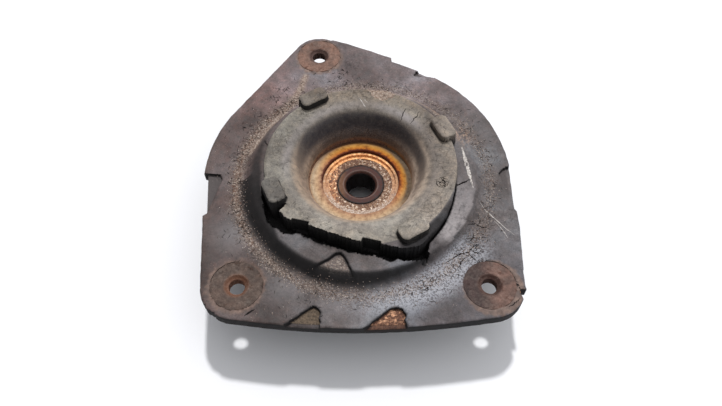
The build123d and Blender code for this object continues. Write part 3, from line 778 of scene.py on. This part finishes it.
BOLD = [[(67.0, -57.9), (68.2, -59.8), (68.8, -62.0)], [(43.6, -12.2), (47.0, -10.2), (50.7, -8.1)],
        [(-47.3, 15.5), (-46.0, 14.2), (-44.6, 11.5)], [(-67.0, -67.0), (-65.6, -68.6), (-63.8, -69.6)],
        [(-64.4, -70.6), (-61.6, -72.4), (-59.2, -73.0)], [(-60.4, -74.0), (-57.0, -74.4), (-53.6, -75.0)],
        [(-49.0, -73.8), (-44.6, -70.4)]]
CURLS = [(37.4, -12.1, 2.7), (37.6, -12.6, 1.6), (-56.7, -20.3, 1.7), (-54.0, -28.5, 2.0),
         (-51.2, -32.4, 1.5), (-55.8, 12.6, 2.0), (51.6, -41.4, 2.2)]
STARS = [(-40.5, 53.2), (-13.5, 61.7), (-44.2, 46.3), (-40.0, 39.6), (-56.4, 19.2), (-49.9, 34.3),
         (-20.5, 66.4), (-36.3, 43.6), (-42.5, 37.6), (-32.0, 50.1), (-8.8, 66.0), (-55.4, 27.8),
         (-8.0, 58.0), (2.0, 55.0), (-56.7, -20.3), (-54.0, -28.5), (-51.0, -31.6), (-60.0, 8.0),
         (-58.0, -6.0), (60.0, 10.0), (40.0, -52.0), (33.0, -58.0), (27.0, -60.5)]
SCUFFS = [([(48.5, 11.2), (49.7, 2.7), (50.9, -6.0), (51.9, -12.6)], 1.9),
          ([(54.9, -17.0), (57.8, -21.3), (61.3, -25.5), (65.9, -30.9), (69.7, -34.3)], 0.45),
          ([(61.1, -26.7), (63.9, -30.9), (66.6, -36.1)], 0.3),
          ([(-0.7, 39.2), (1.2, 36.0), (3.0, 32.6)], 0.45), ([(1.6, 38.6), (3.4, 36.2)], 0.35),
          ([(24.6, -47.6), (27.0, -50.0), (29.4, -51.2)], 0.3)]
rng = np.random.default_rng(21)
skin = surface(rubber.data)


def ribbon(line, width, jagged, points, faces):
    """Adds a jagged ribbon along a line on the skin, widest in its middle; it ends where the skin does."""
    line = np.array(line, float)
    length = run_length(line)
    count = max(int(length[-1] / 0.5), 3)
    at = np.linspace(0, length[-1], count)
    path = np.stack([np.interp(at, length, line[:, 0]), np.interp(at, length, line[:, 1])], -1)
    path += rng.normal(0, jagged, path.shape)
    along = np.gradient(path, axis=0)
    across = np.stack([-along[:, 1], along[:, 0]], -1) / np.hypot(*along.T)[:, None]
    half = width / 2 * np.sin(np.linspace(0.25, np.pi - 0.15, count)) * rng.uniform(0.6, 1.2, count)
    first = len(points)
    for middle, step in zip(path, across * half[:, None]):
        places = [middle - step, middle + step]
        hits = [skin.ray_cast(Vector((*place * MM, 0.05)), Vector((0, 0, -1)))[0] for place in places]
        if None in hits:
            break
        points.extend([hit.x / MM, hit.y / MM, hit.z / MM + 0.03] for hit in hits)
    faces.extend((k, k + 2, k + 3, k + 1) for k in range(first, len(points) - 2, 2))


def wander(x, y, heading, length):
    """A line that turns a little at every step."""
    line = [(x, y)]
    for _ in range(max(int(length / 0.9), 2)):
        heading += rng.normal(0, 0.55)
        x, y = x + 0.9 * math.cos(heading), y + 0.9 * math.sin(heading)
        line.append((x, y))
    return line


points, faces = [], []
for line in CRACKS:
    ribbon(line, 0.5, 0.16, points, faces)
for line in BOLD:
    ribbon(line, 0.85, 0.12, points, faces)
for cx, cy, size in CURLS:
    for start in (0.4, 2.6, 4.4):
        arc = [(cx + size * math.cos(a), cy + size * math.sin(a)) for a in np.linspace(start, start + 1.9, 6)]
        ribbon(arc, 0.4, 0.14, points, faces)
    ribbon(wander(cx - size / 2, cy, 0.6, size * 1.4), 0.36, 0.1, points, faces)
for cx, cy in STARS:
    for heading in rng.uniform(0, 2 * np.pi, 9):
        line = wander(cx + rng.normal(0, 1.9), cy + rng.normal(0, 1.9), heading, rng.uniform(1.0, 3.2))
        ribbon(line, 0.4, 0.06, points, faces)
for _ in range(420):
    a = rng.uniform(-math.pi, math.pi)
    kind = rng.uniform(0, 1)
    if kind < 0.15:
        spread = rng.uniform(35, 44.2)
    elif kind < 0.75:
        spread = rng.normal(61.0, 2.6)
    else:
        spread = rng.uniform(57, 76)
    cx, cy = spread * math.cos(a), spread * math.sin(a)
    if spread > 46:
        cx, cy = cx + HUMP_AT[0], cy + HUMP_AT[1]
    if math.hypot(cx, cy) < np.interp(a, angle, outline) - 4 and from_nut(cx, cy) > NUT_R + 3:
        line = wander(cx, cy, rng.uniform(0, 2 * np.pi), rng.uniform(1.0, 3.6))
        ribbon(line, 0.16 if spread < 46 else 0.30, 0.06, points, faces)
cracks = mesh_object("rubber_cracks", points, faces)
crack_black, shader = material("crack_black")
feed(shader, Base_Color=(0.012, 0.010, 0.010), Roughness=0.95, Specular_IOR_Level=0.1)
cracks.data.materials.append(crack_black)
points, faces = [], []
for line, width in SCUFFS:
    ribbon(line, width, 0.05, points, faces)
scuffs = mesh_object("rubber_scuffs", points, faces)
scuff_pale, shader = material("scuff_pale")
chalk = ramp(noise(millimetres(shader), 1.4, 4.0, 0.7), (0.36, (0.16, 0.14, 0.13)), (0.5, (0.46, 0.42, 0.39)),
             (0.62, (0.68, 0.64, 0.60)))
feed(shader, Base_Color=chalk, Roughness=0.9)
scuffs.data.materials.append(scuff_pale)
for piece in (cracks, scuffs):
    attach(piece, "mount")


# Rubber cushion. The lower part of the same moulding, inside the tower cup. It is only seen round
# the cup's opening, so the CAD solid is kept and gets the plain rubber.
def paint(made, *names):
    """Gives CAD nodes their material."""
    for name in names:
        nodes[name].data.materials.clear()
        nodes[name].data.materials.append(made)


paint(rubber_material("rubber_plain", False), "rubber_cushion")


# Corner nuts. Three flanged weld nuts of bare steel, turned and tapped M8, whose rusty pitted
# discs lie flush with the rubber. Each is one turned skin: disc, shank and threaded hole.
THREAD_IN, THREAD_OUT, PITCH = 3.45, 4.0, 1.25
SHANK_R = 8.0
nut_steel, shader = material("nut_rust")
place = millimetres(shader)
right, back, _ = axes(place)
dull = ramp(noise(place, 0.18, 4.0, 0.55), (0.36, (0.105, 0.070, 0.057)), (0.5, (0.165, 0.108, 0.086)),
            (0.64, (0.23, 0.152, 0.122)))
rusty = use(rust_group, Color=dull, Roughness=0.6, Amount=0.30, Scale=0.3)
speckled = ramp(noise(place, 0.9, 6.0, 0.7), (0.32, (0.82, 0.80, 0.80)), (0.65, (1.15, 1.10, 1.06)))
level = mix(between(back, -20.0, 20.0), (0.44, 0.42, 0.40), (0.99, 0.80, 0.70))
level = mix(between(right, 0.0, 30.0), level, (0.85, 0.70, 0.68))
colour = tint(tint(rusty["Color"], speckled), level)
left_half = times(between(right, 60.0, 50.0), between(right, 0.0, 30.0))
colour = mix(left_half, colour, tint(colour, (0.24, 0.20, 0.24)))
in_hole = mix(between(right, -40.0, -30.0), (0.15, 0.06, 0.030), (0.060, 0.022, 0.015))
colour = mix(mark(shader, "hole"), colour, in_hole)
dusty = use(dust_group, Color=colour, Roughness=rusty["Roughness"], Amount=0.2)
feed(shader, Base_Color=dusty["Color"], Roughness=dusty["Roughness"], Metallic=0.25,
     Normal=bump(plus(rusty["Height"], noise(place, 2.4, 4.0, 0.7)), 0.8))


def turned(line, count):
    """A line of (radius, height) points repeated round an axis: angles, radii, heights and faces."""
    turns = np.linspace(0, 2 * np.pi, count, endpoint=False)[:, None]
    radii, heights = (np.tile(column, (count, 1)) for column in np.array(line).T)
    i, k = np.arange(count)[:, None] * len(line), np.arange(len(line))
    j, m = np.roll(i, -1), np.roll(k, -1)
    return turns, radii, heights, np.stack([i + k, j + k, j + m, i + m], -1).reshape(-1, 4)


line = [(THREAD_IN + 0.4, FLANGE_LOW + 0.02), (SHANK_R - 0.4, FLANGE_LOW + 0.02), (SHANK_R, FLANGE_LOW + 0.4),
        (SHANK_R, PLATE_TOP - 0.3), (NUT_R - 0.5, PLATE_TOP - 0.3), (NUT_R, PLATE_TOP),
        (NUT_R, FLANGE_TOP - 0.3), (NUT_R - 0.1, FLANGE_TOP - 0.12)]
line += [(radius, FLANGE_TOP - 0.04) for radius in np.linspace(NUT_R - 0.3, 5.3, 22)]
line += [(5.1, FLANGE_TOP - 0.15), (4.6, FLANGE_TOP - 0.7), (4.1, FLANGE_TOP - 1.2)]
line += [(0, height) for height in np.arange(FLANGE_TOP - 1.3, FLANGE_LOW + 0.55, -0.11)]
turns, radii, heights, faces = turned(line, 144)
in_thread = radii == 0
wave = np.abs(2 * ((heights / PITCH - turns / (2 * np.pi)) % 1.0) - 1)
depth = np.clip(1.3 * wave - 0.15, 0, 1) * smooth(heights, FLANGE_LOW + 0.4, FLANGE_LOW + 1.0)
hole = 1 - smooth(radii.ravel(), 4.6, 6.2)
radii = np.where(in_thread, THREAD_IN + (THREAD_OUT - THREAD_IN) * depth, radii)
nx, ny = around(radii, turns)
on_disc = (heights > FLANGE_TOP - 0.1) & (radii > 5.2)
for number, (name, (cx, cy)) in enumerate(NUTS.items()):
    pits = [0.10 * np.maximum(ripple(nx, ny, size, seed + number), 0) for size, seed in ((2.2, 40), (5, 50))]
    nz = heights - np.where(on_disc, sum(pits), 0)
    nut = mesh_object(name + "_rusty", np.stack([nx + cx, ny + cy, nz], -1).reshape(-1, 3), faces)
    set_mark(nut, "hole", hole)
    nut.data.materials.append(nut_steel)
    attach(nut, "mount")
    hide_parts(name)


# Flange plate. A 3 mm stamped steel plate inside the rubber; only its rust shows, in the
# fin-shaped windows along the edge.
plate_steel, shader = material("plate_rust")
place = millimetres(shader)
right, back, _ = axes(place)
olive = between(back, -40.0, -72.0)
fresh = times(between(right, -4.0, 4.0), olive)
dirt = mix(olive, (0.095, 0.080, 0.078), (0.115, 0.088, 0.064))
rusty = use(rust_group, Color=mix(fresh, dirt, (0.59, 0.335, 0.21)), Roughness=0.6,
            Amount=times_plus(fresh, 0.3, times(olive, 0.25)), Scale=0.35)
grain = noise(place, 1.1, 6.0, 0.75)
speckled = mix(olive, WHITE, ramp(grain, (0.35, (0.45, 0.43, 0.43)), (0.62, (1.5, 1.4, 1.3))))
feed(shader, Base_Color=tint(rusty["Color"], speckled), Roughness=0.9,
     Normal=bump(plus(rusty["Height"], grain), 0.9, 0.0006))
paint(plate_steel, "flange_plate")


# Seat cup. A 2 mm pressing whose ledge shows round the bearing, stained orange with fresh rust,
# most at the back right, and pale and dusty at the left.
seat_steel, shader = material("seat_rust")
place = millimetres(shader)
right, back, up = axes(place)
mottle = noise(place, 0.5, 7.0, 0.68)
wobbly = times_plus(mottle, 2.4, minus(from_axis(right, back), 1.2))
outward = between(wobbly, 18.6, 25.4)
fresh = ramp(outward, (0.0, (0.38, 0.09, 0.006)), (0.18, (0.56, 0.20, 0.022)), (0.45, (0.55, 0.27, 0.050)),
             (0.75, (0.46, 0.25, 0.085)), (1.0, (0.33, 0.20, 0.11)))
pale = ramp(outward, (0.0, (0.42, 0.24, 0.15)), (0.4, (0.58, 0.40, 0.25)), (0.85, (0.54, 0.43, 0.31)),
            (1.0, (0.38, 0.23, 0.13)))
# Darker towards the ledge's outer edge at the back and at the front right.
outer_darker = times(between(wobbly, 22.2, 24.2), between(back, 1.0, 9.0))
fresh = mix(outer_darker, fresh, (0.105, 0.048, 0.030))
colour = mix(between(plus(times(right, 0.6), back), -12.0, 14.0), pale, fresh)
front_right_darker = times(between(wobbly, 21.5, 23.3), times(between(right, 8.0, 18.0), between(back, -17.0, -8.0)))
colour = mix(front_right_darker, colour, (0.145, 0.105, 0.070))
colour = tint(colour, ramp(mottle, (0.3, (0.45, 0.38, 0.34)), (0.5, (0.85, 0.80, 0.74)),
                           (0.7, (1.12, 1.08, 1.0))))
# Painted shade, dark red, on the lip's wall and along the ledge's inner edge except at the front, where the
# wall faces away from the sun.
lip_shade = between(plus(up, times(mottle, 1.2)), 10.1, 9.5)
line = times(between(wobbly, 19.9, 19.0), between(back, -9.0, 3.0))
colour = mix(times(larger(lip_shade, line), 0.92), colour, (0.070, 0.010, 0.004))
feed(shader, Base_Color=colour, Roughness=0.7, Specular_IOR_Level=0.2, Normal=bump(mottle, 0.6))
paint(seat_steel, "seat_cup")


# Retaining ring and the bearing's outer ring. Spring steel and bearing steel under one rust film,
# tan to orange, with painted shade on the outer edge except at the front.
band_steel, shader = material("band_rust")
place = millimetres(shader)
right, back, _ = axes(place)
mottle = noise(place, 0.7, 7.0, 0.72)
colour = ramp(mottle, (0.3, (0.10, 0.04, 0.02)), (0.43, (0.38, 0.17, 0.075)), (0.56, (0.60, 0.33, 0.17)),
              (0.7, (0.72, 0.60, 0.48)))
grey = ramp(noise(place, 1.5, 5.0, 0.7), (0.38, (0.13, 0.075, 0.05)), (0.5, (0.40, 0.31, 0.25)),
            (0.64, (0.80, 0.74, 0.68)))
colour = mix(between(back, 0.0, -14.0, 0.0, 0.8), colour, grey)
colour = mix(between(back, 3.0, 14.0), colour, tint(colour, (1.85, 1.75, 1.4)))
# Painted shade on the outer edge, under the seat's lip, except at the front.
edge = times(between(from_axis(right, back), 18.1, 18.55), between(back, -9.0, 3.0))
colour = mix(times(edge, 0.9), colour, (0.05, 0.010, 0.006))
feed(shader, Base_Color=colour, Roughness=between(mottle, 0.3, 0.7, 0.55, 0.85), Metallic=0.1,
     Normal=bump(mottle, 0.7, 0.0003))
paint(band_steel, "retaining_ring", "bearing_outer_ring")


# Upper shield. A thin zinc-plated washer staked into the outer ring. Its plating is blistered and
# pitted through to rust, so its face is a displaced skin over the CAD washer's size.
SHIELD_IN, SHIELD_OUT = 11.55, 16.0
shield_steel, shader = material("shield_pitted")
place = millimetres(shader)
right, back, _ = axes(place)
pits = noise(place, 0.75, 5.0, 0.7)
fewer = between(times_plus(back, -0.5, right), 2.0, -12.0, 0.0, 0.055)
flakes = ramp(minus(noise(place, 0.95, 4.0, 0.62), fewer), (0.40, (0.15, 0.075, 0.045)),
              (0.48, (0.29, 0.165, 0.095)), (0.55, (0.43, 0.32, 0.235)), (0.63, (0.86, 0.80, 0.76)))
zinc = mix(between(from_axis(right, back), 11.6, 12.5, 0.8, 0.0), flakes, (0.10, 0.05, 0.035))
zinc = tint(zinc, mix(between(right, -9.0, -13.0), (0.74, 0.66, 0.58), (1.8, 1.42, 1.05)))
rusty = use(rust_group, Color=zinc, Roughness=0.5, Amount=between(pits, 0.4, 0.62, 0.2, 0.62), Scale=0.9)
feed(shader, Base_Color=rusty["Color"], Roughness=rusty["Roughness"], Metallic=times(rusty["Metallic"], 0.35),
     Normal=bump(pits, 0.8))
low, high = [corner.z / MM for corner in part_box("shield_upper")]
line = [(SHIELD_IN + 0.05, low), (SHIELD_IN, high - 0.12)]
line += [(radius, high) for radius in np.linspace(SHIELD_IN + 0.15, SHIELD_OUT - 0.15, 22)]
line += [(SHIELD_OUT, high - 0.1), (SHIELD_OUT, low)]
turns, radii, heights, faces = turned(line, 288)
sx, sy = around(radii, turns)
blisters = 0.10 * ripple(sx, sy, 1.3, 60) + 0.08 * ripple(sx, sy, 3.5, 61) - 0.02
heights += np.where(heights > high - 0.05, blisters, 0)
shield = mesh_object("shield_upper_pitted", np.stack([sx, sy, heights], -1).reshape(-1, 3), faces[:, ::-1])
shield.data.materials.append(shield_steel)
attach(shield, "mount")
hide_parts("shield_upper")
paint(shield_steel, "shield_lower")


# Bearing's inner ring. Dark stained bearing steel, with a painted highlight on the edge round its
# bore, painted shade in the gap at its outer edge and painted shade in the bore.
inner_steel, shader = material("inner_ring_stained")
place = millimetres(shader)
right, back, _ = axes(place)
radius = from_axis(right, back)
mottle = noise(place, 0.8, 6.0, 0.7)
colour = ramp(mottle, (0.32, (0.026, 0.008, 0.006)), (0.5, (0.055, 0.017, 0.012)),
              (0.68, (0.10, 0.038, 0.027)))
colour = mix(between(right, -6.0, -9.5), colour, (0.125, 0.055, 0.025))
# Painted highlight on the edge round the bore.
rim = between(reckon("ABSOLUTE", minus(radius, 8.3)), 0.1, 0.7, 0.45, 0.0)
colour = mix(rim, colour, (0.20, 0.135, 0.115))
# Painted shade in the gap between the ring and the shield.
gap_shade = between(reckon("ABSOLUTE", minus(radius, 11.2)), 0.2, 0.75, 0.9, 0.0)
colour = mix(gap_shade, colour, (0.012, 0.008, 0.007))
# Painted shade, near black, in the bore.
colour = mix(between(radius, 7.2, 7.6, 0.9, 0.0), colour, (0.008, 0.007, 0.007))
feed(shader, Base_Color=colour, Roughness=between(mottle, 0.3, 0.7, 0.5, 0.7), Metallic=0.15,
     Specular_IOR_Level=0.25, Normal=bump(mottle, 0.4, 0.0002))
paint(inner_steel, "bearing_inner_ring")


# Balls, cage and rivets. Polished bearing steel balls in a pressed and riveted steel cage, greased
# and out of the weather behind the shields.
ball_steel, shader = material("ball_polished")
feed(shader, Base_Color=(0.62, 0.61, 0.60), Metallic=1.0,
     Roughness=between(noise(millimetres(shader), 0.9, 3.0), 0.3, 0.7, 0.08, 0.2))
paint(ball_steel, *[name for name in nodes if name.startswith("ball_")])
cage_steel, shader = material("cage_pressed")
smear = noise(millimetres(shader), 0.4, 5.0, 0.6)
feed(shader, Base_Color=ramp(smear, (0.35, (0.20, 0.17, 0.13)), (0.65, (0.42, 0.41, 0.40))), Metallic=0.9,
     Roughness=between(smear, 0.3, 0.7, 0.28, 0.5))
paint(cage_steel, "cage_upper", "cage_lower", "cage_rivets")


# Tower cup. A 2 mm pressing in worn black coating, rusted through on the foot it lies on, at its
# opening and at its rim.
cup_steel, shader = material("cup_coated")
place = millimetres(shader)
coat = ramp(noise(place, 0.2, 5.0), (0.35, (0.018, 0.018, 0.019)), (0.65, (0.045, 0.043, 0.042)))
rusty = use(rust_group, Color=coat, Roughness=0.42, Amount=between(axes(place)[2], -13.4, -8.0, 0.62, 0.2),
            Scale=0.12)
dusty = use(dust_group, Color=rusty["Color"], Roughness=rusty["Roughness"], Amount=0.25)
feed(shader, Base_Color=dusty["Color"], Roughness=dusty["Roughness"],
     Normal=bump(rusty["Height"], 0.5, 0.0003))
paint(cup_steel, "tower_cup")


# Grit. Loose crumbs of rust and sand in the fillet round the hump and on the flange, thickest at
# the left, scattered as small broken lumps.
CRUMBS = 9500
SMALLEST, LARGEST = 0.10, 0.26
rng = np.random.default_rng(7)
spots = []
order = np.argsort(angle % (2 * np.pi))
edge_turn, edge_r = (angle % (2 * np.pi))[order], outline[order]
while len(spots) < CRUMBS:
    a = rng.uniform(0, 2 * np.pi)
    spread = rng.normal(60.2, 2.2) if rng.uniform() < 0.9 else rng.uniform(56, 88)
    if math.cos(a - math.radians(185)) < 0.2 and rng.uniform() < 0.4:
        continue
    sx, sy = spread * math.cos(a) + HUMP_AT[0], spread * math.sin(a) + HUMP_AT[1]
    on_flange = 51 < math.hypot(sx, sy) < np.interp(a, edge_turn, edge_r) - 2
    if on_flange and from_nut(sx, sy) > NUT_R + 1:
        spots.append((sx, sy))
spots = np.array(spots)
heights = top_height(spots[:, 0], spots[:, 1])
seeds = bpy.data.meshes.new("grit_places")
seeds.from_pydata((np.column_stack([spots, heights - 0.03]) * MM).tolist(), [], [])
grit = new_object("grit", seeds)
grit_material, shader = material("grit_crumbs")
crumbs = ramp(noise(millimetres(shader), 1.3, 2.0), (0.38, (0.035, 0.026, 0.024)),
              (0.46, (0.11, 0.065, 0.048)), (0.54, (0.24, 0.17, 0.13)), (0.64, (0.55, 0.48, 0.43)))
feed(shader, Base_Color=crumbs, Roughness=0.9)

scatter = bpy.data.node_groups.new("Scatter crumbs", "GeometryNodeTree")
scatter.interface.new_socket("Geometry", in_out="INPUT", socket_type="NodeSocketGeometry")
smallest, largest = [scatter.interface.new_socket(name, in_out="INPUT", socket_type="NodeSocketFloat")
                     for name in ("Smallest", "Largest")]
scatter.interface.new_socket("Geometry", in_out="OUTPUT", socket_type="NodeSocketGeometry")
given = scatter.nodes.new("NodeGroupInput").outputs
lump = node("GeometryNodeMeshIcoSphere", {"Radius": 1.0, "Subdivisions": 1}, scatter).outputs["Mesh"]
size = node("FunctionNodeRandomValue", {2: given["Smallest"], 3: given["Largest"], "Seed": 3},
            data_type="FLOAT").outputs[1]
tumble = node("FunctionNodeRandomValue", {0: (0, 0, 0), 1: (6.28, 6.28, 6.28), "Seed": 4}, scatter,
              data_type="FLOAT_VECTOR").outputs[0]
sockets = {"Points": given["Geometry"], "Instance": lump, "Rotation": tumble, "Scale": size}
put = node("GeometryNodeInstanceOnPoints", sockets).outputs[0]
real = node("GeometryNodeRealizeInstances", {0: put}).outputs[0]
coloured = node("GeometryNodeSetMaterial", {0: real, "Material": grit_material}).outputs[0]
feed(scatter.nodes.new("NodeGroupOutput"), Geometry=coloured)
modifier = grit.modifiers.new("scatter", "NODES")
modifier.node_group = scatter
modifier[smallest.identifier] = SMALLEST * MM
modifier[largest.identifier] = LARGEST * MM
grit.update_tag()
evaluated = grit.evaluated_get(bpy.context.evaluated_depsgraph_get())
grit.data = bpy.data.meshes.new_from_object(evaluated)
grit.modifiers.clear()
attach(grit, "mount")


# Floor, light and camera. A pale studio floor under a white dome, and a sun high behind the mount
# that throws its shadow towards the camera.
FLOOR = -0.0134
floor_mesh = bpy.data.meshes.new("floor")
floor_mesh.from_pydata([(-4, -4, FLOOR), (4, -4, FLOOR), (4, 4, FLOOR), (-4, 4, FLOOR)], [], [(0, 1, 2, 3)])
floor = new_object("floor", floor_mesh)
floor_material, shader = material("floor_pale")
feed(shader, Base_Color=(0.90, 0.90, 0.92), Roughness=0.9)
floor_mesh.materials.append(floor_material)

sun = new_object("sun", bpy.data.lights.new("sun", "SUN"))
sun.data.energy = 2.2
sun.data.angle = math.radians(4)
sun.rotation_euler = Vector((-1.1, -16.7, -29.7)).to_track_quat("-Z", "Y").to_euler()

# The dome is brightest at the right and the back.
world = bpy.data.worlds.new("studio")
world.use_nodes = True
background = world.node_tree.nodes["Background"]
sockets = {0: node("ShaderNodeTexCoord", {}, background).outputs["Generated"], 1: (0.78, 0.62, 0.05)}
towards = node("ShaderNodeVectorMath", sockets, operation="DOT_PRODUCT").outputs["Value"]
sockets = {"Value": towards, "From Min": -1.0, "From Max": 1.0, "To Min": 0.06, "To Max": 1.22}
feed(background, Color=(0.96, 0.975, 1.0), Strength=node("ShaderNodeMapRange", sockets).outputs[0])
bpy.context.scene.world = world

camera = new_object("camera", bpy.data.cameras.new("camera"))
camera.data.lens = 33.86
camera.data.clip_start = 0.01
camera.location = (0.0002, -0.189, 0.2811)
camera.rotation_euler = (math.radians(33), 0, 0)
bpy.context.scene.camera = camera
bpy.context.scene.view_settings.view_transform = "Standard"
